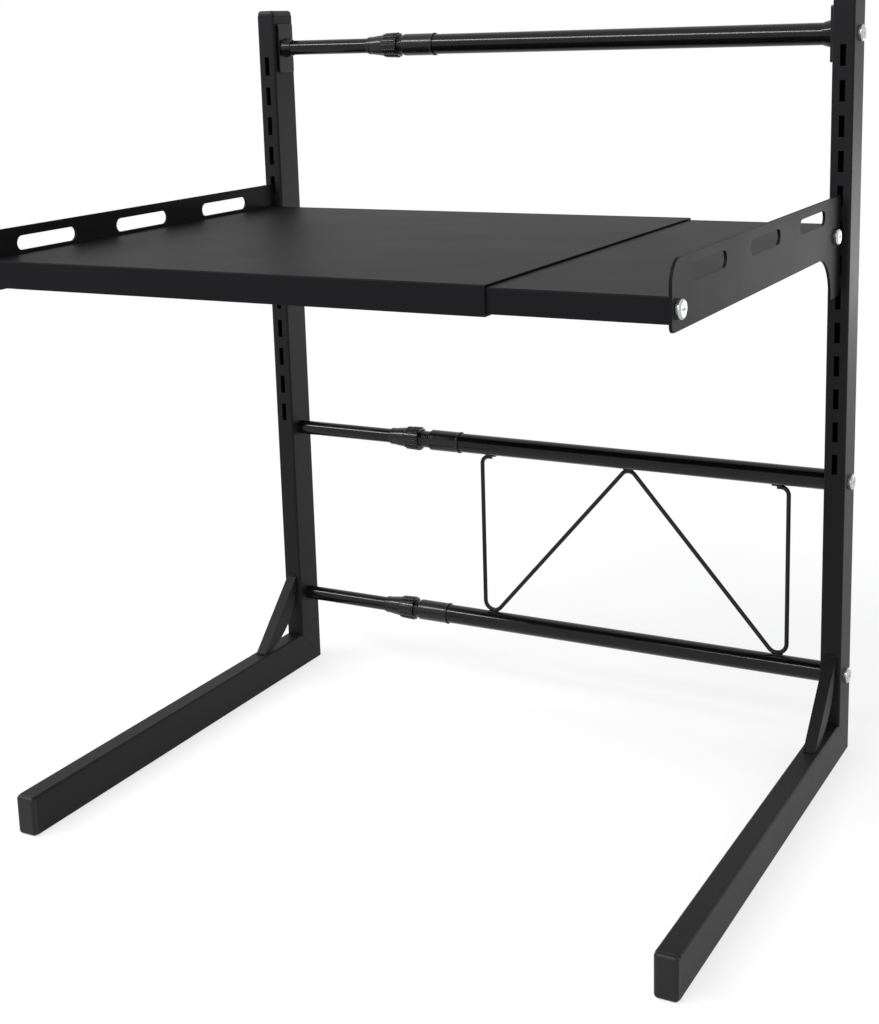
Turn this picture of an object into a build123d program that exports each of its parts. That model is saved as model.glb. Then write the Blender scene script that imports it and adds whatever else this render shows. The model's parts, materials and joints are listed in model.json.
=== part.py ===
"""Extendable rack that stands over a microwave oven: two L-shaped side frames, three telescopic
cross bars and a two-part sliding shelf that hooks into the posts.

Frame: +X to the right, +Y to the back, +Z up, millimetres. The origin is on the floor, under
the middle of the rack."""
import os
from math import asin, atan2, cos, hypot, sin

from build123d import *

# ---- overall sizes at rest ---------------------------------------------------------------------
rack_width = 505.0        # over the outer faces of the two posts
rack_depth = 390.0        # front of the feet to the back of the posts
rack_height = 583.0       # floor to the top of the post caps

# ---- side frames: rectangular tube, mitred at the back corner ----------------------------------
tube_width = 16.0         # along X, posts and feet
post_depth = 30.0
foot_height = 30.0
tube_wall = 1.5
tube_corner = 2.0
least_inner_corner = 0.3
corner_round = 3.0        # frame's back corner, ground round after welding
cap_head = 4.0            # visible height of the moulded end caps
cap_corner = 3.0
cap_round = 2.8
cap_plug_length = 12.0
cap_plug_wall = 2.0
cap_fit = 0.05            # plug to tube wall, each side

slot_count = 13
slot_pitch = 25.0
slot_height = 15.0
slot_width = 4.0
first_slot_drop = 46.0    # top of the rack to the centre of the first slot

gusset_leg = 56.0
gusset_width = 9.0
gusset_sheet = 1.5

# ---- telescopic cross bars ---------------------------------------------------------------------
upper_bar_drop = 31.0     # top of the rack to the upper bar's axis
middle_bar_height = 221.0
lower_bar_height = 66.5
nut_offsets = {"upper": 84.0, "middle": 92.5, "lower": 82.0}    # left post to the lock nut
neck_lengths = {"upper": 4.8, "middle": 10.0, "lower": 4.8}     # thread that shows beside the nut
thin_radius = 6.0
thin_wall = 1.0
thin_length = 300.0
thick_radius = 8.0
thick_wall = 1.5

nut_length = 29.5
nut_taper = 15.4          # smooth tapered nose
nut_nose_radius = 7.0
nut_shoulder_radius = 8.5
nut_body_radius = 9.0
nut_rib_height = 1.1
nut_rib_width = 1.5
nut_rib_count = 16
nut_rib_ends = (0.8, 0.2)   # rib's crest and foot, in from the grip's end
nut_rib_slope = 0.5         # drop of the ribs' crests towards the nose
nut_rib_root = 0.5          # ribs' depth into the grip
nut_bore_end = 6.0        # end of the close bore, from the nose
nut_cone_end = 11.0       # end of the clamping cone, from the nose
running_clearance = 0.25  # nut nose and thread spigot to the thin tube, each side
thread_clearance = 0.1    # lock nut to thread spigot, each side
moulded_chamfer = 0.4     # leading edges of the lock nut and the collar
thread_depth = 0.35
thread_pitch = 1.6
thread_ring = (0.35, 0.55, 0.95)     # crest's start and end and the next root, in pitches
collet_length = 4.5
collet_clearance = 0.05   # collet to the thin tube, each side
collet_gap = 0.2          # collet to the lock nut, each side
collet_slit = 1.4
spigot_start = 16.0       # end of the thread spigot, from the nut's nose
spigot_radius = 7.05
collar_length = 28.0
collar_radius = 8.75
collar_lip_radius = 9.15
collar_lip_length = 1.6
collar_shoulder = 3.0
collar_fit = 0.05         # collar to the thick tube, each side

flange_plate = (2.5, 21.0, 40.0)     # plate at each end of the upper bar: X, Y, Z
flange_plate_round = 1.5
flange_cone_length = 7.0
flange_cone_rise = 2.5    # cone's foot above the bar's surface
flange_cone_edge = 0.4    # cone's wall at its thin end
flange_fit = 0.05

# ---- fasteners ---------------------------------------------------------------------------------
bolt_radius = 3.0
bolt_head_radius = 6.0
bolt_head_height = 3.4
bolt_head_round = 1.6
bolt_hole_clearance = 0.3
thread_fit = 0.05         # bolt to its nut or insert, each side
recess_length = 6.4
recess_width = 1.1
recess_depth = 1.5
insert_length = 14.0
insert_fit = 0.03
bolt_into_insert = 12.0
hex_nut_radius = 5.77
hex_nut_height = 5.0
bolt_past_nut = 1.5

# ---- wire brace between the two lower bars -----------------------------------------------------
wire_radius = 1.75
brace_centre = 311.0      # left post to the middle of the brace
brace_half_span = 131.5
brace_low_bend = 8.0
brace_top_bend = 7.0
brace_end_bend = 6.0
brace_end_run = 9.0       # turned-in end that lies along the middle bar

# ---- shelf: two nested trays and two hooked side plates ----------------------------------------
shelf_depth = 350.0
shelf_rise = 14.5         # bottom of the upper hooked slot to the shelf top
shelf_post_gap = 1.5      # tray to the front of the posts
tray_sheet = 1.2
tray_flange = 18.7
tray_lip = 8.0
tray_bend = 1.1
tray_gap = 0.3            # between the nested trays
outer_tray_length = 376.0
inner_tray_length = 350.0

plate_sheet = 2.0
plate_above = 19.0        # side plate above the shelf top
plate_below = 22.0
plate_front_round = 14.0
plate_low_round = 4.0
plate_post_gap = 0.2
tail_drop = 54.0          # side plate's tail below the shelf top
tail_width = 24.0
tail_fillet = 30.0
tail_round = 2.0
window_count = 3
window_length = 62.0
window_height = 10.0
window_first = 31.0       # front edge to the first window
window_pitch = 108.0
window_rise = 2.5         # shelf top to the windows' lower edge

hook_rows = (5, 6)        # slots that carry the shelf, counted from the top slot as 0
hook_neck = 9.0
hook_drop = 5.0
hook_lip = 4.5
hook_clearance = 0.4      # hook's lip to the inside of the post wall

shelf_bolt_drop = 9.5     # shelf top to the bolt centres
front_bolt_inset = 10.0   # front edge to the front bolt
rear_bolt_inset = 14.0    # post to the rear bolt

# ---- places that follow ------------------------------------------------------------------------
rack_front = -rack_depth / 2
rack_back = rack_depth / 2
post_front = rack_back - post_depth
post_y = rack_back - post_depth / 2
post_x = rack_width / 2 - tube_width / 2
inner_face = rack_width / 2 - tube_width
bar_heights = {"upper": rack_height - upper_bar_drop,
               "middle": middle_bar_height, "lower": lower_bar_height}
post_top = rack_height - cap_head
foot_tip = rack_front + cap_head
first_slot = rack_height - first_slot_drop
hook_floor = [first_slot - row * slot_pitch - slot_height / 2 for row in hook_rows]
shelf_top = hook_floor[0] + shelf_rise
shelf_back = post_front - shelf_post_gap
shelf_front = shelf_back - shelf_depth
plate_inner = post_x - plate_sheet / 2
shelf_bolt_places = [shelf_front + front_bolt_inset, post_front - rear_bolt_inset]
shelf_bolt_height = shelf_top - shelf_bolt_drop
over = 1.0                # how far cutters run past the faces they cut

LEFT, RIGHT = -1, 1
ALONG_X = Plane(origin=(0, 0, 0), x_dir=(0, 1, 0), z_dir=(1, 0, 0))    # sketches in Y, Z
ALONG_Y = Plane(origin=(0, 0, 0), x_dir=(1, 0, 0), z_dir=(0, -1, 0))   # sketches in X, Z


# ---- helpers -----------------------------------------------------------------------------------
def box_between(low, high):
    """Box from one corner to the opposite one."""
    size = [b - a for a, b in zip(low, high)]
    middle = [(a + b) / 2 for a, b in zip(low, high)]
    return Pos(*middle) * Box(*size)


def slab(outline, x_low, x_high):
    """Face drawn in Y, Z and thickened from one X to another."""
    return Pos(x_low, 0, 0) * extrude(ALONG_X * outline, x_high - x_low)


def turned(points, x, y, z):
    """Solid of revolution about X from (along, radius) points, placed at x, y, z."""
    profile = make_face(Polyline([(a, r, 0) for a, r in points], close=True))
    return Pos(x, y, z) * revolve(profile, Axis.X)


def rod(radius, x_low, x_high, y, z):
    """Plain round bar along X."""
    return Pos((x_low + x_high) / 2, y, z) * Rot(0, 90, 0) * Cylinder(radius, x_high - x_low)


def ring(outer, inner, x_low, x_high, y, z):
    """Plain tube along X."""
    return rod(outer, x_low, x_high, y, z) - rod(inner, x_low - over, x_high + over, y, z)


# ---- side frames -------------------------------------------------------------------------------
def tube_section(width, height):
    """Rectangular tube section with rounded corners."""
    inner_corner = max(tube_corner - tube_wall, least_inner_corner)
    outside = RectangleRounded(width, height, tube_corner)
    return outside - RectangleRounded(width - 2 * tube_wall, height - 2 * tube_wall, inner_corner)


def mitre_wedge(above):
    """Half of the back corner's block, above or below the mitre."""
    corner_z = foot_height if above else 0.0
    corner_y = rack_back if above else post_front
    points = [(post_front, foot_height), (rack_back, 0.0), (corner_y, corner_z)]
    half = tube_width / 2 + over
    return slab(make_face(Polyline(points, close=True)), -half, half)


def corner_grinding():
    """What is ground off the frame's back corner."""
    half = tube_width / 2 + over
    corner = box_between((-half, rack_back - corner_round, -over),
                         (half, rack_back + over, corner_round))
    return corner - rod(corner_round, -half - over, half + over,
                        rack_back - corner_round, corner_round)


def post(side):
    """Upright with its column of hook slots, bolt holes and a mitred lower end."""
    body = Pos(0, post_y, 0) * extrude(tube_section(tube_width, post_depth), post_top)
    body = body - mitre_wedge(above=False) - corner_grinding()
    for row in range(slot_count):
        z = first_slot - row * slot_pitch
        low = (-slot_width / 2, post_front - over, z - slot_height / 2)
        high = (slot_width / 2, post_front + tube_wall + over, z + slot_height / 2)
        body -= box_between(low, high)
    for z in bar_heights.values():
        body -= rod(bolt_radius + bolt_hole_clearance, -tube_width, tube_width, post_y, z)
    return Pos(side * post_x, 0, 0) * body


def foot(side):
    """Foot tube, mitred at its back end."""
    section = Plane(origin=(0, rack_back, foot_height / 2), x_dir=(1, 0, 0), z_dir=(0, -1, 0))
    body = extrude(section * tube_section(tube_width, foot_height), rack_back - foot_tip)
    return Pos(side * post_x, 0, 0) * (body - mitre_wedge(above=True) - corner_grinding())


def end_cap(height):
    """Moulded cap with a hollow plug: its seat at z = 0, head above, plug below."""
    head = extrude(RectangleRounded(tube_width, height, cap_corner), cap_head)
    head = fillet(head.edges().group_by(Axis.Z)[-1], cap_round)
    inset = 2 * (tube_wall + cap_fit)
    plug = Rectangle(tube_width - inset, height - inset)
    plug = fillet(plug.vertices(), max(tube_corner - tube_wall, least_inner_corner))
    well = Rectangle(tube_width - inset - 2 * cap_plug_wall, height - inset - 2 * cap_plug_wall)
    return head + extrude(plug - well, -cap_plug_length)


def post_cap(side):
    return Pos(side * post_x, post_y, post_top) * end_cap(post_depth)


def foot_cap(side):
    return Pos(side * post_x, foot_tip, foot_height / 2) * Rot(90, 0, 0) * end_cap(foot_height)


def gusset(side):
    """Folded brace in the corner: a sloping strip with two crescent webs."""
    low = (post_front - gusset_leg, foot_height)
    high = (post_front, foot_height + gusset_leg)
    step = gusset_sheet * 2 ** 0.5
    strip = make_face(Polyline([low, high, (high[0], high[1] - step), (low[0] + step, low[1])],
                               close=True))
    reach = gusset_leg * 2 ** -0.5
    middle = (low[0] + reach, high[1] - reach)
    web = make_face([Line(low, high), ThreePointArc(high, middle, low)])
    half = gusset_width / 2
    body = slab(strip, -half, half)
    body += slab(web, -half, -half + gusset_sheet) + slab(web, half - gusset_sheet, half)
    return Pos(side * post_x, 0, 0) * body


# ---- cross bars --------------------------------------------------------------------------------
def nut_start(name):
    return nut_offsets[name] - inner_face


def collar_start(name):
    return nut_start(name) + nut_length + neck_lengths[name]


def thick_start(name):
    return collar_start(name) + collar_shoulder


def inner_tube(name):
    """Thin tube, from the left post into the thick one."""
    return ring(thin_radius, thin_radius - thin_wall, -inner_face, -inner_face + thin_length,
                post_y, bar_heights[name])


def outer_tube(name):
    """Thick tube, from its collar to the right post."""
    return ring(thick_radius, thick_radius - thick_wall, thick_start(name), inner_face,
                post_y, bar_heights[name])


def spigot_points(start, end):
    """Outline of the thread spigot as rings of the thread's pitch."""
    points = [(start, thin_radius + running_clearance), (start, spigot_radius - thread_depth)]
    turns = int((end - start) / thread_pitch)
    for turn in range(turns):
        a = start + turn * thread_pitch
        for share, depth in zip(thread_ring, (0.0, 0.0, thread_depth)):
            points.append((a + thread_pitch * share, spigot_radius - depth))
    return points


def collar(name):
    """Moulded collar on the thick tube's mouth, with its thread spigot."""
    spigot = nut_start(name) + spigot_start - collar_start(name)
    seat = thick_radius + collar_fit
    lip = collar_length - collar_lip_length
    points = spigot_points(spigot, 0.0)
    points += [(0.0, spigot_radius - thread_depth), (0.0, collar_radius - moulded_chamfer)]
    points += [(moulded_chamfer, collar_radius)]
    points += [(lip, collar_radius), (lip, collar_lip_radius), (collar_length, collar_lip_radius)]
    points += [(collar_length, seat), (collar_shoulder, seat)]
    points += [(collar_shoulder, thin_radius + running_clearance)]
    return turned(points, collar_start(name), post_y, bar_heights[name])


def lock_nut(name):
    """Clamping nut: smooth tapered nose, then a ribbed grip."""
    bore = thin_radius + running_clearance
    cavity = spigot_radius + thread_clearance
    points = [(0.0, bore), (0.0, nut_nose_radius - moulded_chamfer)]
    points += [(moulded_chamfer, nut_nose_radius)]
    points += [(nut_taper, nut_shoulder_radius), (nut_taper, nut_body_radius)]
    points += [(nut_length, nut_body_radius), (nut_length, cavity)]
    points += [(nut_cone_end, cavity), (nut_bore_end, bore)]
    x, z = nut_start(name), bar_heights[name]
    body = turned(points, x, post_y, z)
    rib_top = nut_body_radius + nut_rib_height
    rib_root = nut_body_radius - nut_rib_root
    crest, foot_end = nut_rib_ends
    rib = make_face(Polyline([(nut_taper, rib_root), (nut_taper + crest, rib_top - nut_rib_slope),
                              (nut_length - crest, rib_top), (nut_length - foot_end, rib_root)],
                             close=True))
    rib = extrude(Plane.XY * rib, nut_rib_width / 2, both=True)
    for index in range(nut_rib_count):
        body += Pos(x, post_y, z) * Rot(index * 360 / nut_rib_count, 0, 0) * rib
    return body


def collet(name):
    """Split clamping ring between the thread spigot and the nut's cone."""
    end = nut_start(name) + spigot_start
    start = end - collet_length
    outside = spigot_radius + thread_clearance - collet_gap
    z = bar_heights[name]
    body = ring(outside, thin_radius + collet_clearance, start, end, post_y, z)
    low = (start - over, post_y - collet_slit / 2, z)
    high = (end + over, post_y + collet_slit / 2, z + outside + over)
    return body - box_between(low, high)


def bar_flange(side):
    """Plate and cone at one end of the upper bar."""
    bar_radius = thin_radius if side == LEFT else thick_radius
    thickness, depth, height = flange_plate
    z = bar_heights["upper"]
    plate = Pos(thickness / 2, post_y, z) * Box(thickness, depth, height)
    plate = fillet(plate.edges().filter_by(Axis.X), flange_plate_round)
    hole = bar_radius + flange_fit
    tip = thickness + flange_cone_length
    points = [(thickness / 2, hole), (thickness / 2, bar_radius + flange_cone_rise)]
    points += [(thickness, bar_radius + flange_cone_rise), (tip, hole + flange_cone_edge)]
    points += [(tip, hole)]
    body = plate + turned(points, 0, post_y, z) - rod(hole, -over, tip + over, post_y, z)
    body = body if side == LEFT else mirror(body, about=Plane.YZ)
    return Pos(side * inner_face, 0, 0) * body


def wire_brace():
    """Bent wire between the middle and lower bars, in the plane of their axes."""
    x_mid = brace_centre - inner_face
    z_high = bar_heights["middle"] - thick_radius - wire_radius
    z_low = bar_heights["lower"] + thick_radius + wire_radius
    low_centre = (x_mid - brace_half_span + brace_low_bend, z_low + brace_low_bend)
    top_centre = (x_mid, z_high - brace_top_bend)
    run = (top_centre[0] - low_centre[0], top_centre[1] - low_centre[1])
    slope = atan2(run[1], run[0]) + asin((brace_low_bend + brace_top_bend) / hypot(*run))
    touch = (low_centre[0] + brace_low_bend * sin(slope), low_centre[1] - brace_low_bend * cos(slope))

    def on_diagonal(x):
        return touch[1] + (x - touch[0]) * sin(slope) / cos(slope)

    x_left = x_mid - brace_half_span
    x_right = x_mid + brace_half_span
    corner = on_diagonal(x_left)
    corners = [(x_left + brace_end_run, z_high), (x_left, z_high), (x_left, corner)]
    corners += [(x_mid, on_diagonal(x_mid)), (x_right, corner), (x_right, z_high)]
    corners += [(x_right - brace_end_run, z_high)]
    bends = [brace_end_bend, brace_low_bend, brace_top_bend, brace_low_bend, brace_end_bend]
    path = FilletPolyline(*[(x, post_y, z) for x, z in corners], radius=bends)
    section = Plane(origin=path @ 0, z_dir=path % 0) * Circle(wire_radius)
    return sweep(section, path=path)


# ---- fasteners ---------------------------------------------------------------------------------
def pan_bolt(shank):
    """Pan-head bolt with a cross recess: head outside x = 0, shank towards -X."""
    head = rod(bolt_head_radius, 0, bolt_head_height, 0, 0)
    head = fillet(head.edges().sort_by(Axis.X)[-1], bolt_head_round)
    bottom = bolt_head_height - recess_depth
    half_long, half_wide = recess_length / 2, recess_width / 2
    top = bolt_head_height + over
    head -= box_between((bottom, -half_long, -half_wide), (top, half_long, half_wide))
    head -= box_between((bottom, -half_wide, -half_long), (top, half_wide, half_long))
    return head + rod(bolt_radius, -shank, 0, 0, 0)


def facing(side):
    """Turns a piece made for the right side towards the given side."""
    return Rot(0, 0, 0) if side == RIGHT else Rot(0, 0, 180)


def bar_bolts(side):
    """Bolts through the post into the bar ends."""
    bolt = facing(side) * pan_bolt(tube_width + bolt_into_insert)
    return Compound([Pos(side * rack_width / 2, post_y, z) * bolt for z in bar_heights.values()])


def bar_inserts(side):
    """Threaded plugs pressed into the bar ends."""
    radius = (thin_radius - thin_wall if side == LEFT else thick_radius - thick_wall) - insert_fit
    plug = ring(radius, bolt_radius + thread_fit, -insert_length, 0, 0, 0)
    plug = facing(side) * plug
    return Compound([Pos(side * inner_face, post_y, z) * plug for z in bar_heights.values()])


def plate_outer():
    return plate_inner + plate_sheet


def shelf_bolts(side):
    """Bolts that hold a tray's end flange to its side plate."""
    bolt = facing(side) * pan_bolt(plate_sheet + tray_sheet + hex_nut_height + bolt_past_nut)
    x = side * plate_outer()
    return Compound([Pos(x, y, shelf_bolt_height) * bolt for y in shelf_bolt_places])


def shelf_nuts(side):
    """Hexagon nuts on the shelf bolts, inside the trays' end flanges."""
    nut = RegularPolygon(hex_nut_radius, 6) - Circle(bolt_radius + thread_fit)
    nut = extrude(ALONG_X * nut, -hex_nut_height)
    x = side * (plate_inner - tray_sheet)
    return Compound([Pos(x, y, shelf_bolt_height) * facing(side) * nut for y in shelf_bolt_places])


# ---- shelf -------------------------------------------------------------------------------------
def tray(x_open, side, length, top, front, back, flange, lip):
    """Bent-sheet tray: deck, front and back flanges with optional lips, one end flange."""
    x_end = x_open + side * length
    x_low, x_high = min(x_open, x_end), max(x_open, x_end)
    body = box_between((x_low, front, top - flange), (x_high, back, top))
    body = fillet(body.edges().filter_by(Axis.X).group_by(Axis.Z)[-1], tray_bend)
    floor = top - flange + tray_sheet if lip else top - flange - over
    body -= box_between((x_low - over, front + tray_sheet, floor),
                        (x_high + over, back - tray_sheet, top - tray_sheet))
    if lip:
        body -= box_between((x_low - over, front + lip, top - flange - over),
                            (x_high + over, back - lip, top - flange + tray_sheet + over))
    flange_x = x_end - side * tray_sheet
    end = box_between((min(x_end, flange_x), front + tray_sheet, top - flange + tray_sheet),
                      (max(x_end, flange_x), back - tray_sheet, top - tray_sheet))
    body += end
    for y in shelf_bolt_places:
        body -= rod(bolt_radius + bolt_hole_clearance, min(x_end, flange_x) - over,
                    max(x_end, flange_x) + over, y, shelf_bolt_height)
    return body


def outer_tray():
    """Left tray: a channel whose lips carry the inner tray."""
    x_open = outer_tray_length - plate_inner
    return tray(x_open, LEFT, outer_tray_length, shelf_top, shelf_front, shelf_back,
                tray_flange, tray_lip)


def inner_tray():
    """Right tray, which slides inside the outer one."""
    step = tray_sheet + tray_gap
    return tray(plate_inner - inner_tray_length, RIGHT, inner_tray_length, shelf_top - step,
                shelf_front + step, shelf_back - step, tray_flange - 2 * step, None)


def plate_outline():
    """Side plate's outline in Y, Z, without hooks or windows."""
    top, bottom = shelf_top + plate_above, shelf_top - plate_below
    rear, tail = post_front - plate_post_gap, shelf_top - tail_drop
    tail_front = rear - tail_width
    corners = {(shelf_front, top): plate_front_round, (rear, top): tail_round,
               (rear, tail): tail_round, (tail_front, tail): tail_round,
               (tail_front, bottom): tail_fillet, (shelf_front, bottom): plate_low_round}
    return make_face(FilletPolyline(*corners, radius=list(corners.values()), close=True))


def side_plate(side):
    """Hooked side plate with its row of windows and bolt holes."""
    outline = plate_outline()
    for index in range(window_count):
        y = shelf_front + window_first + index * window_pitch + window_length / 2
        z = shelf_top + window_rise + window_height / 2
        outline -= Pos(y, z) * SlotOverall(window_length, window_height)
    for y in shelf_bolt_places:
        outline -= Pos(y, shelf_bolt_height) * Circle(bolt_radius + bolt_hole_clearance)
    lip_front = post_front + tube_wall + hook_clearance
    lip_back = lip_front + hook_lip
    root = post_front - plate_post_gap - over
    for floor in hook_floor:
        top = floor + hook_neck
        points = [(root, floor), (root, top), (lip_back, top), (lip_back, floor - hook_drop)]
        points += [(lip_front, floor - hook_drop), (lip_front, floor)]
        outline += make_face(Polyline(points, close=True))
    return Pos(side * post_x, 0, 0) * slab(outline, -plate_sheet / 2, plate_sheet / 2)


# ---- the rack ----------------------------------------------------------------------------------
def rack():
    """Every piece, by name."""
    pieces = {}
    for word, side in (("left", LEFT), ("right", RIGHT)):
        pieces[word + "_post"] = post(side)
        pieces[word + "_foot"] = foot(side)
        pieces[word + "_post_cap"] = post_cap(side)
        pieces[word + "_foot_cap"] = foot_cap(side)
        pieces[word + "_gusset"] = gusset(side)
        pieces[word + "_bar_flange"] = bar_flange(side)
        pieces[word + "_bar_bolts"] = bar_bolts(side)
        pieces[word + "_bar_inserts"] = bar_inserts(side)
        pieces[word + "_side_plate"] = side_plate(side)
        pieces[word + "_shelf_bolts"] = shelf_bolts(side)
        pieces[word + "_shelf_nuts"] = shelf_nuts(side)
    for name in bar_heights:
        pieces[name + "_inner_tube"] = inner_tube(name)
        pieces[name + "_outer_tube"] = outer_tube(name)
        pieces[name + "_collar"] = collar(name)
        pieces[name + "_lock_nut"] = lock_nut(name)
        pieces[name + "_collet"] = collet(name)
    pieces["wire_brace"] = wire_brace()
    pieces["outer_tray"] = outer_tray()
    pieces["inner_tray"] = inner_tray()
    return pieces


os.makedirs("parts", exist_ok=True)
for node, shape in rack().items():
    export_step(shape, "parts/" + node + ".step")
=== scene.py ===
"""Finishes, detail and studio for an extendable microwave rack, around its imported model.

The rack's posts stand at the back (+Y), its feet run to the front (-Y), and X is its width. All
lengths are metres."""
import json
from math import pi, radians

import bmesh
import bpy
from bpy.props import FloatProperty, FloatVectorProperty, IntProperty, PointerProperty
from mathutils import Matrix, Vector

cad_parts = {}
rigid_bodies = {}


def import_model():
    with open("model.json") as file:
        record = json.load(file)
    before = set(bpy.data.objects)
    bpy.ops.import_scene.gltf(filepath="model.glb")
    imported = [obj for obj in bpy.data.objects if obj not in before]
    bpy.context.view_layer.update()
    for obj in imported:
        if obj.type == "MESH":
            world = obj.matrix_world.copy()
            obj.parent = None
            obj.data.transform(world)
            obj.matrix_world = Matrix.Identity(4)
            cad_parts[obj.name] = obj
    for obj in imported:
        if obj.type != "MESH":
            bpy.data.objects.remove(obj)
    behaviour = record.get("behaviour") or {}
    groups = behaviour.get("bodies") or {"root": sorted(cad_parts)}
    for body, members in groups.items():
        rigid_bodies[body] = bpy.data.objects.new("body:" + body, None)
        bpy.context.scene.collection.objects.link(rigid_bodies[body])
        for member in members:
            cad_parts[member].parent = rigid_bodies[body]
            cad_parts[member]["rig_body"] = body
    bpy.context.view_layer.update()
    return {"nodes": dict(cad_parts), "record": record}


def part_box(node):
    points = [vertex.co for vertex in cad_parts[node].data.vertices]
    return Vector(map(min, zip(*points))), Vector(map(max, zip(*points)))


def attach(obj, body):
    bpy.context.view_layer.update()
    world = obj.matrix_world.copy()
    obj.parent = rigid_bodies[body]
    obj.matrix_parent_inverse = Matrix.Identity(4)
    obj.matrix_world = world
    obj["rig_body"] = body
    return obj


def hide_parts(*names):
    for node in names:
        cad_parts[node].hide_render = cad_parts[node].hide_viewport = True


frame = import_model()

bl_info = {
    "name": "Extendable microwave rack",
    "version": (1, 0, 0),
    "blender": (4, 5, 0),
    "location": "View3D > Sidebar > Rack",
    "description": "Dresses the packed rack: powder coat, gloss bars, lock nuts, welds and studio",
    "category": "Object",
}

SIDES = ("left", "right")
BARS = ("upper", "middle", "lower")

MERGE = 2e-6              # packed vertices nearer than this are one vertex
FLAT = radians(0.4)       # triangles of one face turn less than this

BODY_OF = {node: piece["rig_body"] for node, piece in frame["nodes"].items()}
SLOT_OF = {row["node"]: row["material_slot"] for row in frame["record"]["subparts"]}


# ---- settings ----------------------------------------------------------------------------------
class FinishSettings(bpy.types.PropertyGroup):
    """Colours and grain of the rack's finishes."""
    powder_colour: FloatVectorProperty(
        name="Powder coat", description="Colour of the frames and shelf", subtype="COLOR",
        default=(0.0058, 0.0056, 0.0064), min=0.0, max=1.0)
    gloss_colour: FloatVectorProperty(
        name="Gloss paint", description="Colour of the cross bars and brace", subtype="COLOR",
        default=(0.0035, 0.0035, 0.0039), min=0.0, max=1.0)
    plastic_colour: FloatVectorProperty(
        name="Black plastic", description="Colour of the caps, collars and lock nuts",
        subtype="COLOR", default=(0.0060, 0.0060, 0.0064), min=0.0, max=1.0)
    zinc_colour: FloatVectorProperty(
        name="Zinc plate", description="Colour of the bolts and nuts", subtype="COLOR",
        default=(0.50, 0.51, 0.53), min=0.0, max=1.0)
    collet_colour: FloatVectorProperty(
        name="Collet plastic", description="Colour of the clamping rings in the lock nuts",
        subtype="COLOR", default=(0.55, 0.54, 0.50), min=0.0, max=1.0)
    grain_size: FloatProperty(
        name="Grain size", description="Width of one bump of the powder coat's orange peel",
        default=0.0009, min=0.0002, max=0.01, unit="LENGTH")
    grain_depth: FloatProperty(
        name="Grain depth", description="Height of the powder coat's orange peel",
        default=0.00003, min=0.0, max=0.001, unit="LENGTH")


class DetailSettings(bpy.types.PropertyGroup):
    """Sizes of the modelled details."""
    sheet_edge: FloatProperty(
        name="Sheet edge", description="Rounding of coated sheet-metal edges",
        default=0.0003, min=0.0001, max=0.002, unit="LENGTH")
    tube_edge: FloatProperty(
        name="Tube edge", description="Rounding of the frame tubes' cut edges and slots",
        default=0.0003, min=0.0001, max=0.002, unit="LENGTH")
    bolt_edge: FloatProperty(
        name="Bolt edge", description="Rounding of the bolts' and nuts' edges",
        default=0.00018, min=0.00005, max=0.001, unit="LENGTH")
    rib_count: IntProperty(
        name="Grip ribs", description="Ribs round each lock nut", default=16, min=6, max=40)
    weld_size: FloatProperty(
        name="Weld size", description="Radius of the weld beads on the brace and gussets",
        default=0.0019, min=0.0005, max=0.005, unit="LENGTH")


class StageSettings(bpy.types.PropertyGroup):
    """Camera, lamps and floor."""
    camera_place: FloatVectorProperty(
        name="Camera place", description="Where the camera stands", subtype="XYZ",
        default=(0.5506, -1.0200, 0.5604), unit="LENGTH")
    camera_turn: FloatProperty(
        name="Camera turn", description="Turn to the left from straight ahead",
        default=radians(28.31), subtype="ANGLE")
    camera_tip: FloatProperty(
        name="Camera tip", description="Downward tip", default=radians(11.87), subtype="ANGLE")
    camera_roll: FloatProperty(
        name="Camera roll", description="Roll about the line of sight",
        default=radians(-1.69), subtype="ANGLE")
    focal_pixels: FloatProperty(
        name="Focal length", description="Focal length in pixels of the picture's long side",
        default=1648.4, min=100.0)
    picture_height: FloatProperty(
        name="Picture height", description="Long side of the picture in pixels", default=1024.0)
    horizon_shift: FloatProperty(
        name="Lens shift", description="Vertical lens shift, in parts of the long side",
        default=-0.129, min=-0.5, max=0.5)
    floor_radius: FloatProperty(
        name="Floor radius", description="Radius of the white floor", default=6.0, unit="LENGTH")
    strip_power: FloatProperty(
        name="Strip lamp", description="Power of the narrow lamp that streaks the bars",
        default=68.0, subtype="POWER")
    rear_power: FloatProperty(
        name="Rear lamp", description="Power of the lamp behind the rack's right side",
        default=4.0, subtype="POWER")
    front_power: FloatProperty(
        name="Front lamp", description="Power of the soft lamp low in front",
        default=5.0, subtype="POWER")


def settings():
    """The scene's rack settings."""
    return bpy.context.scene.rack


class RackSettings(bpy.types.PropertyGroup):
    """All of the rack's settings."""
    finish: PointerProperty(type=FinishSettings, name="Finish", description="Colours and grain")
    detail: PointerProperty(type=DetailSettings, name="Detail", description="Detail sizes")
    stage: PointerProperty(type=StageSettings, name="Stage", description="Camera and lamps")


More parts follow.
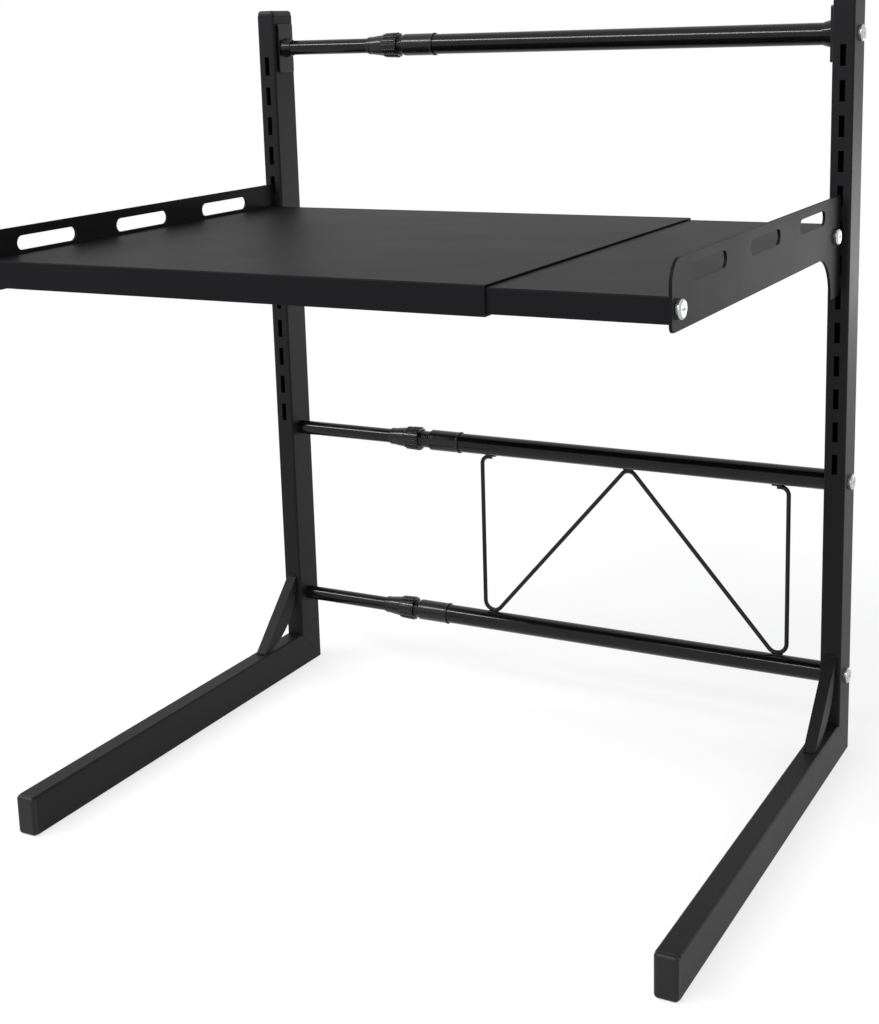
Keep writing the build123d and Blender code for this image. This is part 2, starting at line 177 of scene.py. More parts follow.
# ---- node helpers ------------------------------------------------------------------------------
class Finish:
    """A node material on object coordinates, with short calls to add its nodes."""

    def __init__(self, name, colour, roughness, metallic=0.0, specular=0.5):
        self.material = bpy.data.materials.new(name)
        self.material.use_nodes = True
        self.material.diffuse_color = (*colour, 1.0)
        self.nodes = self.material.node_tree.nodes
        self.links = self.material.node_tree.links
        self.shader = self.nodes["Principled BSDF"]
        self.shader.inputs["Base Color"].default_value = (*colour, 1.0)
        self.shader.inputs["Roughness"].default_value = roughness
        self.shader.inputs["Metallic"].default_value = metallic
        self.shader.inputs["Specular IOR Level"].default_value = specular
        self.place = self.nodes.new("ShaderNodeTexCoord").outputs["Object"]

    def noise(self, size, detail=2.0, stretch=(1.0, 1.0, 1.0), distortion=0.0):
        """Cloudy noise whose lumps are about size metres wide."""
        mapping = self.nodes.new("ShaderNodeMapping")
        mapping.inputs["Scale"].default_value = stretch
        self.links.new(self.place, mapping.inputs["Vector"])
        noise = self.nodes.new("ShaderNodeTexNoise")
        noise.inputs["Scale"].default_value = 1.0 / size
        noise.inputs["Detail"].default_value = detail
        noise.inputs["Distortion"].default_value = distortion
        self.links.new(mapping.outputs["Vector"], noise.inputs["Vector"])
        return noise.outputs["Fac"]

    def cells(self, size):
        """Distance to the nearest of scattered points about size metres apart."""
        voronoi = self.nodes.new("ShaderNodeTexVoronoi")
        voronoi.inputs["Scale"].default_value = 1.0 / size
        self.links.new(self.place, voronoi.inputs["Vector"])
        return voronoi.outputs["Distance"]

    def spread(self, value, low, high, from_low=0.3, from_high=0.7):
        """Maps a noise's usual span to another."""
        span = self.nodes.new("ShaderNodeMapRange")
        span.inputs["From Min"].default_value = from_low
        span.inputs["From Max"].default_value = from_high
        span.inputs["To Min"].default_value = low
        span.inputs["To Max"].default_value = high
        self.links.new(value, span.inputs["Value"])
        return span.outputs["Result"]

    def streaks(self, size, stretch, width):
        """1 on thin scattered hairlines, else 0."""
        line = self.noise(size, 0.0, stretch, 0.4)
        low = self.spread(line, 0.0, 1.0, 0.5 - width, 0.5)
        high = self.spread(line, 1.0, 0.0, 0.5, 0.5 + width)
        both = self.nodes.new("ShaderNodeMath")
        both.operation = "MULTIPLY"
        self.links.new(low, both.inputs[0])
        self.links.new(high, both.inputs[1])
        return both.outputs[0]

    def total(self, value, other, share):
        """A value plus a share of another."""
        add = self.nodes.new("ShaderNodeMath")
        add.operation = "MULTIPLY_ADD"
        self.links.new(other, add.inputs[0])
        add.inputs[1].default_value = share
        self.links.new(value, add.inputs[2])
        return add.outputs[0]

    def tint(self, value, dark, light):
        """Colour that runs from dark to light with a value from 0 to 1."""
        mix = self.nodes.new("ShaderNodeMix")
        mix.data_type = "RGBA"
        mix.inputs["A"].default_value = (*dark, 1.0)
        mix.inputs["B"].default_value = (*light, 1.0)
        self.links.new(value, mix.inputs["Factor"])
        return mix.outputs["Result"]

    def colour(self, socket):
        self.links.new(socket, self.shader.inputs["Base Color"])

    def roughness(self, socket):
        self.links.new(socket, self.shader.inputs["Roughness"])

    def bump(self, value, depth, under=None):
        """Relief of the given depth in metres, over another relief if there is one."""
        bump = self.nodes.new("ShaderNodeBump")
        bump.inputs["Strength"].default_value = 1.0
        bump.inputs["Distance"].default_value = depth
        self.links.new(value, bump.inputs["Height"])
        if under is not None:
            self.links.new(under, bump.inputs["Normal"])
        self.links.new(bump.outputs["Normal"], self.shader.inputs["Normal"])
        return bump.outputs["Normal"]


def times(colour, factor):
    """Colour made lighter or darker by a factor."""
    return tuple(min(1.0, c * factor) for c in colour)


# ---- finishes ----------------------------------------------------------------------------------
def powder_coat(name, painted_light_factor=1.0, roughness=0.46, specular=0.05):
    """Baked powder: fine orange peel, a few coarser grains, faint cloudy gloss and rub marks. Its
    colour can be lightened by a factor, which paints light onto a copy of the coat.
    """
    look = settings().finish
    # painted light: the coat's colour is scaled by this factor, so a copy of the same coat can be
    # made lighter to stand for more light falling on its faces
    colour = times(look.powder_colour, painted_light_factor)
    finish = Finish(name, colour, roughness, specular=specular)
    cloud = finish.spread(finish.noise(0.12, 3.0), 0.0, 1.0)
    finish.colour(finish.tint(cloud, times(colour, 0.92), times(colour, 1.10)))
    patches = finish.spread(finish.noise(0.05, 4.0), roughness - 0.012, roughness + 0.012)
    rubs = finish.streaks(0.0028, (0.10, 1.0, 1.0), 0.018)
    finish.roughness(finish.total(patches, rubs, -0.03))
    peel = finish.bump(finish.noise(look.grain_size, 3.0), look.grain_depth)
    finish.bump(finish.cells(look.grain_size * 2.4), look.grain_depth * 0.4, under=peel)
    return finish.material


def gloss_paint(name, roughness=0.13):
    """Smooth sprayed paint on drawn tube: long faint draw waves and soft gloss patches."""
    colour = tuple(settings().finish.gloss_colour)
    finish = Finish(name, colour, roughness, specular=0.24)
    cloud = finish.spread(finish.noise(0.03, 3.0), 0.0, 1.0)
    finish.colour(finish.tint(cloud, times(colour, 0.85), times(colour, 1.2)))
    finish.roughness(finish.spread(finish.noise(0.012, 4.0), roughness - 0.02, roughness + 0.05))
    finish.bump(finish.noise(0.02, 1.0, stretch=(0.3, 1.0, 1.0)), 0.00002)
    return finish.material


def moulded_plastic(name, roughness, specular=0.3):
    """Injection-moulded black plastic: fine spark-eroded texture and slight flow marks."""
    colour = tuple(settings().finish.plastic_colour)
    finish = Finish(name, colour, roughness, specular=specular)
    flow = finish.noise(0.009, 3.0, stretch=(0.5, 1.0, 1.0), distortion=0.6)
    flow = finish.spread(flow, 0.0, 1.0)
    finish.colour(finish.tint(flow, times(colour, 0.9), times(colour, 1.2)))
    finish.roughness(finish.spread(finish.noise(0.004, 3.0), roughness - 0.03, roughness + 0.05))
    finish.bump(finish.noise(0.0008, 1.0), 0.000003)
    return finish.material


def zinc_plate(name):
    """Bright zinc: mottled crystals, fine rolling scratches and a little bluish stain."""
    colour = tuple(settings().finish.zinc_colour)
    finish = Finish(name, colour, 0.28, metallic=1.0)
    mottle = finish.spread(finish.noise(0.0022, 3.0), 0.0, 1.0)
    finish.colour(finish.tint(mottle, times(colour, 0.86), times(colour, 1.08)))
    finish.roughness(finish.spread(finish.noise(0.0011, 4.0), 0.22, 0.34))
    finish.bump(finish.noise(0.0004, 2.0, stretch=(1.0, 1.0, 6.0)), 0.000006)
    return finish.material


def natural_plastic(name):
    """Uncoloured collet plastic with a waxy, slightly cloudy body."""
    colour = tuple(settings().finish.collet_colour)
    finish = Finish(name, colour, 0.45)
    finish.colour(finish.tint(finish.spread(finish.noise(0.002), 0.0, 1.0), times(colour, 0.9),
                              times(colour, 1.1)))
    finish.bump(finish.noise(0.0006), 0.00001)
    return finish.material


FINISHES = {}


def make_finishes():
    """One finish for each material slot of the rack."""
    # painted light: the frame's copy of the coat is painted 1.4 times lighter than the shelf's,
    # standing for the brighter light on the frame's faces
    FINISHES["frame_powder_coat"] = powder_coat("frame_powder_coat", painted_light_factor=1.4, specular=0.10)
    FINISHES["shelf_powder_coat"] = powder_coat("shelf_powder_coat", roughness=0.50)
    FINISHES["bar_gloss_paint"] = gloss_paint("bar_gloss_paint")
    FINISHES["cap_plastic"] = moulded_plastic("cap_plastic", 0.46, specular=0.25)
    FINISHES["nut_plastic"] = moulded_plastic("nut_plastic", 0.2)
    FINISHES["collet_plastic"] = natural_plastic("collet_plastic")
    FINISHES["zinc_steel"] = zinc_plate("zinc_steel")


def wear(piece, slot):
    """Gives a piece the finish of a material slot."""
    piece.data.materials.clear()
    piece.data.materials.append(FINISHES[slot])


# ---- mesh helpers ------------------------------------------------------------------------------
def soften(mesh, sharp_angle=radians(32)):
    """Smooth shading that keeps hard edges hard."""
    bm = bmesh.new()
    bm.from_mesh(mesh)
    for face in bm.faces:
        face.smooth = True
    for edge in bm.edges:
        edge.smooth = not edge.is_manifold or edge.calc_face_angle(0.0) < sharp_angle
    bm.to_mesh(mesh)
    bm.free()


def add_piece(name, bm, node, stands_for=()):
    """Turns a bmesh into a piece that rides with a node's body and wears the node's finish."""
    mesh = bpy.data.meshes.new(name)
    bm.to_mesh(mesh)
    bm.free()
    soften(mesh)
    piece = bpy.data.objects.new(name, mesh)
    bpy.context.scene.collection.objects.link(piece)
    normals = piece.modifiers.new("even_normals", "WEIGHTED_NORMAL")
    normals.keep_sharp = True
    slot = SLOT_OF[node]
    wear(piece, slot)
    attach(piece, BODY_OF[node])
    if stands_for:
        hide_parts(*stands_for)
    return piece


def clean_copy(node):
    """A node's own solid, merged and cleaned of its triangles."""
    bm = bmesh.new()
    bm.from_mesh(frame["nodes"][node].data)
    bmesh.ops.remove_doubles(bm, verts=bm.verts, dist=MERGE)
    bmesh.ops.dissolve_limit(bm, angle_limit=FLAT, verts=bm.verts, edges=bm.edges)
    return bm


def round_edges(bm, edge, segments=2, sharp=radians(35), wanted=None, clamp=False):
    """Rounds a bmesh's hard edges, or those of them whose two ends are wanted."""
    hard = [e for e in bm.edges if e.is_manifold and e.calc_face_angle(0.0) > sharp
            and (wanted is None or all(wanted(v.co) for v in e.verts))]
    bmesh.ops.bevel(bm, geom=hard, offset=edge, offset_type="OFFSET", affect="EDGES",
                    segments=segments, profile=0.5, material=-1, clamp_overlap=clamp,
                    loop_slide=True)


def edged_copy(node, name, edge, wanted=None, clamp=False):
    """A node's own solid with rounded hard edges."""
    bm = clean_copy(node)
    round_edges(bm, edge, wanted=wanted, clamp=clamp)
    return add_piece(name, bm, node, stands_for=(node,))


def spun(bm, points, x, y, z, steps=64):
    """Spins a closed (along, radius) outline about the X line through y, z."""
    verts = [bm.verts.new((x + along, y, z + radius)) for along, radius in points]
    edges = [bm.edges.new((a, b)) for a, b in zip(verts, verts[1:] + verts[:1])]
    bmesh.ops.spin(bm, geom=verts + edges, cent=(x, y, z), axis=(1, 0, 0), angle=2 * pi,
                   steps=steps, use_merge=True)
    bmesh.ops.remove_doubles(bm, verts=bm.verts, dist=1e-7)
    bmesh.ops.recalc_face_normals(bm, faces=bm.faces)


def axis_of(node):
    """Ends along X, and the centre line's place in Y and Z, of a round part along X."""
    low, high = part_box(node)
    return low.x, high.x, (low.y + high.y) / 2, (low.z + high.z) / 2


def radius_of(node):
    """Largest radius of a round part along X."""
    low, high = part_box(node)
    return (high.z - low.z) / 2


# ---- pieces: side frames -----------------------------------------------------------------------
def weld_bead(bm, start, end, radius, pitch):
    """Row of overlapping drops along a straight joint."""
    start, end = Vector(start), Vector(end)
    count = max(1, round((end - start).length / pitch))
    for index in range(count + 1):
        drop = Matrix.Translation(start.lerp(end, index / count))
        bmesh.ops.create_icosphere(bm, subdivisions=2, radius=radius, matrix=drop)


def outside_of_tube(node, across):
    """Test for places on a frame tube's outer skin; its section lies in X and the axis across."""
    low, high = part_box(node)
    skin = 0.0007

    def on_skin(place):
        return any(place[axis] < low[axis] + skin or place[axis] > high[axis] - skin
                   for axis in (0, across))
    return on_skin


def dress_frame(side):
    """Rounds the edges of one side's tubes, caps and gusset."""
    detail = settings().detail
    for kind, across in (("post", 1), ("foot", 2)):
        node = f"{side}_{kind}"
        edged_copy(node, f"{node}_tube", detail.tube_edge, outside_of_tube(node, across))
    for kind in ("post", "foot"):
        edged_copy(f"{side}_{kind}_cap", f"{side}_{kind}_end_cap", detail.bolt_edge, clamp=True)
    low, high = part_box(f"{side}_gusset")
    thin_tip = 0.0008
    edged_copy(f"{side}_gusset", f"{side}_corner_gusset", detail.sheet_edge,
               wanted=lambda place: low.z + thin_tip < place.z < high.z - thin_tip)


def dress_gusset_welds(side):
    """Short fillet welds where the gusset's strip meets the post and the foot."""
    low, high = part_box(f"{side}_gusset")
    size = settings().detail.weld_size * 0.6
    inset, sunk, pitch = size * 1.5, size * 0.3, size * 0.9
    left, right = low.x + inset, high.x - inset
    bm = bmesh.new()
    weld_bead(bm, (left, high.y - sunk, high.z), (right, high.y - sunk, high.z), size, pitch)
    weld_bead(bm, (left, low.y, low.z + sunk), (right, low.y, low.z + sunk), size, pitch)
    add_piece(f"{side}_gusset_welds", bm, f"{side}_gusset")


# ---- pieces: cross bars ------------------------------------------------------------------------
def tube_points(length, outer, inner, lip):
    """Closed outline of a tube with softened mouths."""
    return [(0, inner + lip), (lip, inner), (length - lip, inner), (length, inner + lip),
            (length, outer - lip), (length - lip * 0.3, outer - lip * 0.3), (length - lip, outer),
            (lip, outer), (lip * 0.3, outer - lip * 0.3), (0, outer - lip)]


def dress_tube(node, name, wall):
    """Tube of one cross bar with softened mouths."""
    start, end, y, z = axis_of(node)
    outer, lip = radius_of(node), 0.0004
    bm = bmesh.new()
    spun(bm, tube_points(end - start, outer, outer - wall, lip), start, y, z)
    add_piece(name, bm, node, stands_for=(node,))


def ring_grooves(surface, places, width, depth):
    """(along, radius) points of small round-bottomed grooves in a nearly level surface."""
    points = []
    for place in places:
        points += [(place - width / 2, surface), (place - width / 4, surface - depth * 0.8),
                   (place, surface - depth), (place + width / 4, surface - depth * 0.8),
                   (place + width / 2, surface)]
    return points


def nut_points(length, grip, step):
    """Closed outline of a lock nut without its ribs: bore, nose, taper, step and grip."""
    bore, bore_end = 0.00625, 0.006
    cavity, cavity_start = 0.00715, 0.011
    nose, shoulder = 0.0070, 0.0085
    return [(0.0, bore), (0.0, nose - 0.0005), (0.00015, nose - 0.0002), (0.0006, nose),
            *ring_grooves(nose + 0.00015, (0.0022, 0.0036), 0.00045, 0.00016),
            (step * 0.5, nose + 0.0007), (step - 0.0004, shoulder),
            (step - 0.0001, shoulder + 0.00005),
            (step, grip - 0.0004), (step + 0.0003, grip - 0.0001), (step + 0.0007, grip),
            (length - 0.0006, grip + 0.0003), (length - 0.0002, grip + 0.0001),
            (length, grip - 0.0003), (length, cavity + 0.0003), (length - 0.0003, cavity),
            (cavity_start, cavity), (bore_end, bore)]


def add_rib(bm, middle, length, height, reach, angle):
    """One rounded grip rib along X, its crest lower towards the nose, turned about the nut."""
    width, edge, fall = 0.0015, 0.0005, 0.00045
    rib = bmesh.new()
    bmesh.ops.create_cube(rib, size=1.0)
    bmesh.ops.scale(rib, verts=rib.verts, vec=(length, width, height * 2))
    bmesh.ops.bevel(rib, geom=rib.edges, offset=edge, offset_type="OFFSET", affect="EDGES",
                    segments=3, profile=0.5, material=-1, clamp_overlap=True)
    front = [v for v in rib.verts if v.co.x < 0 and v.co.z > 0]
    bmesh.ops.translate(rib, verts=front, vec=(0.0, 0.0, -fall))
    bmesh.ops.translate(rib, verts=rib.verts, vec=(0.0, 0.0, reach - height))
    bmesh.ops.rotate(rib, verts=rib.verts, cent=(0, 0, 0), matrix=Matrix.Rotation(angle, 3, "X"))
    bmesh.ops.translate(rib, verts=rib.verts, vec=middle)
    mesh = bpy.data.meshes.new("rib")
    rib.to_mesh(mesh)
    rib.free()
    bm.from_mesh(mesh)
    bpy.data.meshes.remove(mesh)


def dress_lock_nut(bar):
    """Tapered nose, waist step and ribbed grip of one lock nut."""
    node = f"{bar}_lock_nut"
    start, end, y, z = axis_of(node)
    length, reach = end - start, radius_of(node)
    ribs = settings().detail.rib_count
    rib_height, rib_inset, rib_ends = 0.0011, 0.0004, 0.0010
    step = 0.0154
    bm = bmesh.new()
    spun(bm, nut_points(length, reach - rib_height, step), start, y, z, steps=96)
    rib_length = length - step - rib_ends
    middle = (start + step + rib_inset + rib_length / 2, y, z)
    for index in range(ribs):
        add_rib(bm, middle, rib_length, rib_height, reach, 2 * pi * index / ribs)
    add_piece(f"{bar}_grip_nut", bm, node, stands_for=(node,))


def spigot_points(face, root, crest, pitch):
    """(along, radius) points of the thread's rings between 0 and the collar's face."""
    flank, round_off = 0.00008, 0.00004
    points = []
    for turn in range(int(face / pitch)):
        a = turn * pitch
        points += [(a + pitch * 0.2, root + flank), (a + pitch * 0.4, crest - round_off),
                   (a + pitch * 0.5, crest), (a + pitch * 0.6, crest - round_off),
                   (a + pitch * 0.8, root + flank), (a + pitch * 0.95, root)]
    return points


def dress_collar(bar):
    """Collar with a rolled end lip, and its thread spigot with rounded crests."""
    node = f"{bar}_collar"
    start, end, y, z = axis_of(node)
    lip = radius_of(node)
    length, shoulder = 0.028, 0.003
    face = end - start - length
    back = face + length
    body = lip - 0.0004
    crest, root, bore, seat = 0.00705, 0.0067, 0.00625, 0.00805
    points = [(0.0, bore), (0.0, root), *spigot_points(face, root, crest, 0.0016)]
    points += [(face, root), (face, body - 0.0006), (face + 0.0002, body - 0.0002),
               (face + 0.0007, body), (back - 0.0022, body), (back - 0.0018, body + 0.0001),
               (back - 0.0014, lip - 0.0001), (back - 0.0010, lip), (back - 0.0003, lip - 0.0001),
               (back, lip - 0.0004), (back, seat + 0.0002), (back - 0.0002, seat),
               (face + shoulder, seat), (face + shoulder, bore)]
    bm = bmesh.new()
    spun(bm, points, start, y, z, steps=96)
    add_piece(f"{bar}_threaded_collar", bm, node, stands_for=(node,))


# ---- pieces: fasteners -------------------------------------------------------------------------
def islands(bm):
    """Groups of vertices that hang together."""
    left = set(bm.verts)
    groups = []
    while left:
        group, reached = set(), [left.pop()]
        while reached:
            vert = reached.pop()
            group.add(vert)
            for edge in vert.link_edges:
                other = edge.other_vert(vert)
                if other in left:
                    left.discard(other)
                    reached.append(other)
        groups.append(list(group))
    return groups


def middle_of(verts):
    """Centre of the box round some vertices."""
    low = Vector([min(v.co[axis] for v in verts) for axis in range(3)])
    high = Vector([max(v.co[axis] for v in verts) for axis in range(3)])
    return (low + high) / 2


def thread_points(start, end, crest, depth, pitch):
    """(along, radius) points of rings of a thread between two places, to either side."""
    way = 1 if end > start else -1
    points = [(start, crest - depth)]
    for turn in range(int(abs(end - start) / pitch) - 1):
        a = start + way * turn * pitch
        points += [(a + way * pitch * 0.42, crest - depth * 0.08), (a + way * pitch * 0.50, crest),
                   (a + way * pitch * 0.58, crest - depth * 0.08),
                   (a + way * pitch, crest - depth)]
    return points


def dress_screws(node, name, side):
    """Pan-head screws: the recess narrows to its floor, and a thread takes the shank's place."""
    outward = -1 if side == "left" else 1
    head_height, recess_floor, recess_reach, narrowing = 0.0034, 0.0019, 0.0045, 0.6
    low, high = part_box(node)
    top, shank_end = (low.x, high.x) if side == "left" else (high.x, low.x)
    seat = top - outward * head_height
    bm = clean_copy(node)
    centres = [middle_of(group) for group in islands(bm)]
    for centre in centres:
        floor = seat + outward * recess_floor
        pit = [v for v in bm.verts if abs(v.co.x - floor) < 2e-5
               and (v.co.yz - centre.yz).length < recess_reach]
        bmesh.ops.scale(bm, verts=pit, vec=(1.0, narrowing, narrowing),
                        space=Matrix.Translation(-Vector((0.0, centre.y, centre.z))))
    cut = bmesh.ops.bisect_plane(bm, geom=bm.verts[:] + bm.edges[:] + bm.faces[:], dist=1e-7,
                                 plane_co=(seat + outward * 0.00005, 0, 0),
                                 plane_no=(outward, 0, 0), clear_inner=True)
    rims = [e for e in cut["geom_cut"] if isinstance(e, bmesh.types.BMEdge)]
    bmesh.ops.holes_fill(bm, edges=rims, sides=0)
    round_edges(bm, settings().detail.bolt_edge, clamp=True)
    crest, depth, pitch = 0.00298, 0.00042, 0.0010
    inside_head = seat + outward * 0.0010
    points = thread_points(inside_head, shank_end, crest, depth, pitch)
    points += [(shank_end + outward * 0.0002, crest - depth), (shank_end, crest - depth * 2.0),
               (shank_end, 0.0006), (shank_end + outward * 0.0001, 0.0001),
               (inside_head, 0.0001)]
    for centre in centres:
        spun(bm, points, 0.0, centre.y, centre.z, steps=40)
    add_piece(name, bm, node, stands_for=(node,))


# ---- pieces: brace -----------------------------------------------------------------------------
def dress_brace():
    """The bent wire keeps its solid; its welds to the two bars are added."""
    low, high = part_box("wire_brace")
    size = settings().detail.weld_size
    y, wire = (low.y + high.y) / 2, (high.y - low.y) / 2
    middle = (low.x + high.x) / 2
    top_inset, low_inset, reach = 0.011, 0.009, 0.003
    spots = [(low.x + top_inset, high.z), (high.x - top_inset, high.z), (middle, high.z),
             (low.x + low_inset, low.z), (high.x - low_inset, low.z)]
    bm = bmesh.new()
    for x, z in spots:
        for face in (-1, 1):
            beside = y + face * wire * 0.75
            weld_bead(bm, (x - reach, beside, z), (x + reach, beside, z), size * 0.62, size * 0.5)
    add_piece("brace_welds", bm, "wire_brace")


# ---- stage -------------------------------------------------------------------------------------
def seen_directly(nodes, links):
    """1 on camera, glossy and transmission rays, else 0."""
    path = nodes.new("ShaderNodeLightPath")
    total = path.outputs["Is Camera Ray"]
    for name in ("Is Glossy Ray", "Is Transmission Ray"):
        either = nodes.new("ShaderNodeMath")
        either.operation = "MAXIMUM"
        links.new(total, either.inputs[0])
        links.new(path.outputs[name], either.inputs[1])
        total = either.outputs[0]
    return total


def make_world():
    """Even fill light behind a plain white background."""
    world = bpy.data.worlds.new("studio")
    world.use_nodes = True
    nodes, links = world.node_tree.nodes, world.node_tree.links
    nodes.clear()
    out = nodes.new("ShaderNodeOutputWorld")
    mix = nodes.new("ShaderNodeMixShader")
    fill = nodes.new("ShaderNodeBackground")
    fill.inputs["Color"].default_value = (0.97, 0.98, 1.0, 1.0)
    fill.inputs["Strength"].default_value = 0.8
    white = nodes.new("ShaderNodeBackground")
    white.inputs["Color"].default_value = (1.0, 1.0, 1.0, 1.0)
    white.inputs["Strength"].default_value = 1.0
    links.new(seen_directly(nodes, links), mix.inputs["Fac"])
    links.new(fill.outputs[0], mix.inputs[1])
    links.new(white.outputs[0], mix.inputs[2])
    links.new(mix.outputs[0], out.inputs["Surface"])
    bpy.context.scene.world = world


def make_floor():
    """White floor that takes the rack's shadow near it and fades to plain white further out."""
    radius = settings().stage.floor_radius
    bm = bmesh.new()
    bmesh.ops.create_circle(bm, cap_ends=True, segments=96, radius=radius,
                            matrix=Matrix.Translation((0.0, 0.0, -0.0004)))
    mesh = bpy.data.meshes.new("floor")
    bm.to_mesh(mesh)
    bm.free()
    floor = bpy.data.objects.new("floor", mesh)
    bpy.context.scene.collection.objects.link(floor)
    material = bpy.data.materials.new("studio_floor")
    material.use_nodes = True
    nodes, links = material.node_tree.nodes, material.node_tree.links
    nodes.clear()
    out = nodes.new("ShaderNodeOutputMaterial")
    paint = nodes.new("ShaderNodeBsdfDiffuse")
    paint.inputs["Color"].default_value = (0.96, 0.96, 0.96, 1.0)
    glow = nodes.new("ShaderNodeEmission")
    glow.inputs["Strength"].default_value = 1.0
    place = nodes.new("ShaderNodeTexCoord")
    far = nodes.new("ShaderNodeVectorMath")
    far.operation = "LENGTH"
    links.new(place.outputs["Object"], far.inputs[0])
    fade = nodes.new("ShaderNodeMapRange")
    fade.interpolation_type = "SMOOTHSTEP"
    fade.inputs["From Min"].default_value = 0.35
    fade.inputs["From Max"].default_value = 1.1
    fade.inputs["To Min"].default_value = 0.7
    links.new(far.outputs["Value"], fade.inputs["Value"])
    seen = nodes.new("ShaderNodeMath")
    seen.operation = "MULTIPLY"
    links.new(fade.outputs["Result"], seen.inputs[0])
    links.new(seen_directly(nodes, links), seen.inputs[1])
    mix = nodes.new("ShaderNodeMixShader")
    links.new(seen.outputs[0], mix.inputs["Fac"])
    links.new(paint.outputs[0], mix.inputs[1])
    links.new(glow.outputs[0], mix.inputs[2])
    links.new(mix.outputs[0], out.inputs["Surface"])
    floor.data.materials.append(material)


def add_lamp(name, place, target, size, power):
    """Rectangular lamp that looks at the target and stays out of the picture."""
    lamp = bpy.data.lights.new(name, "AREA")
    lamp.shape = "RECTANGLE"
    lamp.size, lamp.size_y = size
    lamp.energy = power
    holder = bpy.data.objects.new(name, lamp)
    holder.location = place
    holder.visible_camera = False
    holder.rotation_euler = (Vector(target) - Vector(place)).to_track_quat("-Z", "Y").to_euler()
    bpy.context.scene.collection.objects.link(holder)


def make_lamps():
    """A streak lamp, a low rear lamp and a soft front lamp, all aimed at the rack's middle."""
    stage = settings().stage
    middle = (0.0, 0.1, 0.3)
    add_lamp("strip_lamp", (-1.0, -1.6, 1.95), middle, (3.0, 0.22), stage.strip_power)
    add_lamp("rear_lamp", (0.95, 2.0, 0.14), middle, (1.0, 0.26), stage.rear_power)
    add_lamp("front_lamp", (0.5, -2.4, 0.9), middle, (1.6, 1.0), stage.front_power)


def make_camera():
    """Camera in front of the rack's right side, with a vertical lens shift."""
    stage = settings().stage
    data = bpy.data.cameras.new("camera")
    data.sensor_width = 36.0
    data.lens = stage.focal_pixels * data.sensor_width / stage.picture_height
    data.shift_y = stage.horizon_shift
    camera = bpy.data.objects.new("camera", data)
    turn = Matrix.Rotation(stage.camera_turn, 4, "Z")
    tip = Matrix.Rotation(radians(90) - stage.camera_tip, 4, "X")
    roll = Matrix.Rotation(stage.camera_roll, 4, "Z")
    camera.matrix_world = Matrix.Translation(stage.camera_place) @ turn @ tip @ roll
    bpy.context.scene.collection.objects.link(camera)
    bpy.context.scene.camera = camera


# ---- operators ---------------------------------------------------------------------------------
class RACK_OT_finishes(bpy.types.Operator):
    """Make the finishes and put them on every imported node"""
    bl_idname = "rack.finishes"
    bl_label = "Finishes"

    def execute(self, context):
        make_finishes()
        for node, piece in frame["nodes"].items():
            wear(piece, SLOT_OF[node])
        return {"FINISHED"}


class RACK_OT_side_frames(bpy.types.Operator):
    """Dress the posts, feet, caps and gussets"""
    bl_idname = "rack.side_frames"
    bl_label = "Side frames"

    def execute(self, context):
        for side in SIDES:
            dress_frame(side)
            dress_gusset_welds(side)
        return {"FINISHED"}


class RACK_OT_cross_bars(bpy.types.Operator):
    """Dress the telescopic bars, their collars and their lock nuts"""
    bl_idname = "rack.cross_bars"
    bl_label = "Cross bars"

    def execute(self, context):
        for bar in BARS:
            dress_tube(f"{bar}_inner_tube", f"{bar}_thin_tube", 0.001)
            dress_tube(f"{bar}_outer_tube", f"{bar}_thick_tube", 0.0015)
            dress_collar(bar)
            dress_lock_nut(bar)
        for side in SIDES:
            edged_copy(f"{side}_bar_flange", f"{side}_upper_bar_plate",
                       settings().detail.sheet_edge, clamp=True)
        return {"FINISHED"}


class RACK_OT_brace(bpy.types.Operator):
    """Add the brace's welds"""
    bl_idname = "rack.brace"
    bl_label = "Wire brace"

    def execute(self, context):
        dress_brace()
        return {"FINISHED"}


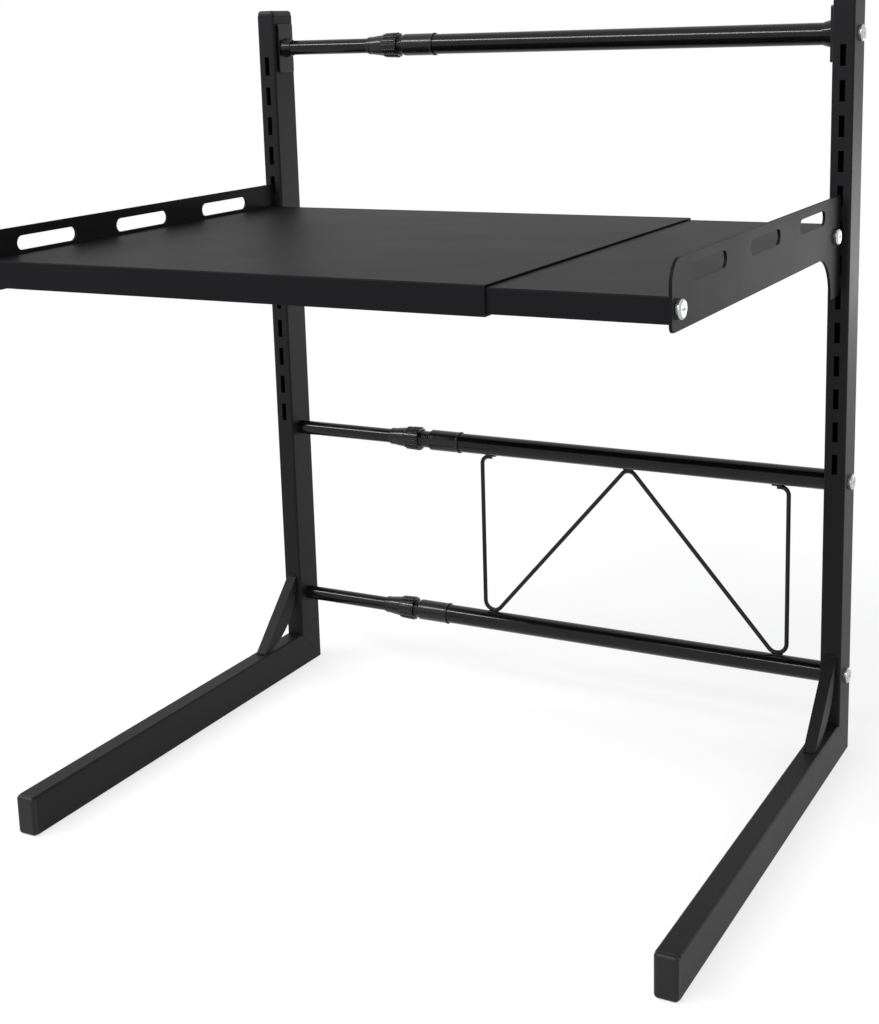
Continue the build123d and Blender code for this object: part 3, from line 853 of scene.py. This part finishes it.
class RACK_OT_shelf(bpy.types.Operator):
    """Dress the trays and side plates"""
    bl_idname = "rack.shelf"
    bl_label = "Shelf"

    def execute(self, context):
        edge = settings().detail.sheet_edge
        edged_copy("outer_tray", "outer_shelf_tray", edge)
        edged_copy("inner_tray", "inner_shelf_tray", edge)
        for side in SIDES:
            edged_copy(f"{side}_side_plate", f"{side}_shelf_plate", edge)
        return {"FINISHED"}


class RACK_OT_fasteners(bpy.types.Operator):
    """Dress the bolts and nuts"""
    bl_idname = "rack.fasteners"
    bl_label = "Fasteners"

    def execute(self, context):
        edge = settings().detail.bolt_edge
        for side in SIDES:
            for kind in ("bar", "shelf"):
                dress_screws(f"{side}_{kind}_bolts", f"{side}_{kind}_screws", side)
            edged_copy(f"{side}_shelf_nuts", f"{side}_shelf_hex_nuts", edge, clamp=True)
        return {"FINISHED"}


class RACK_OT_stage(bpy.types.Operator):
    """Set up the floor, lamps, world and camera"""
    bl_idname = "rack.stage"
    bl_label = "Stage"

    def execute(self, context):
        context.scene.view_settings.view_transform = "Standard"
        make_world()
        make_floor()
        make_lamps()
        make_camera()
        return {"FINISHED"}


class RACK_PT_panel(bpy.types.Panel):
    """Buttons for each step of dressing the rack"""
    bl_idname = "RACK_PT_panel"
    bl_label = "Microwave rack"
    bl_space_type = "VIEW_3D"
    bl_region_type = "UI"
    bl_category = "Rack"

    def draw(self, context):
        for step in STEPS:
            self.layout.operator(step.bl_idname)


SETTINGS = (FinishSettings, DetailSettings, StageSettings, RackSettings)
STEPS = (RACK_OT_finishes, RACK_OT_side_frames, RACK_OT_cross_bars, RACK_OT_brace, RACK_OT_shelf,
         RACK_OT_fasteners, RACK_OT_stage)


def register():
    for group in SETTINGS + STEPS + (RACK_PT_panel,):
        bpy.utils.register_class(group)
    bpy.types.Scene.rack = PointerProperty(type=RackSettings)


def unregister():
    del bpy.types.Scene.rack
    for group in reversed(SETTINGS + STEPS + (RACK_PT_panel,)):
        bpy.utils.unregister_class(group)


def main():
    register()
    bpy.ops.rack.finishes()
    bpy.ops.rack.side_frames()
    bpy.ops.rack.cross_bars()
    bpy.ops.rack.brace()
    bpy.ops.rack.shelf()
    bpy.ops.rack.fasteners()
    bpy.ops.rack.stage()


if __name__ == "__main__":
    main()
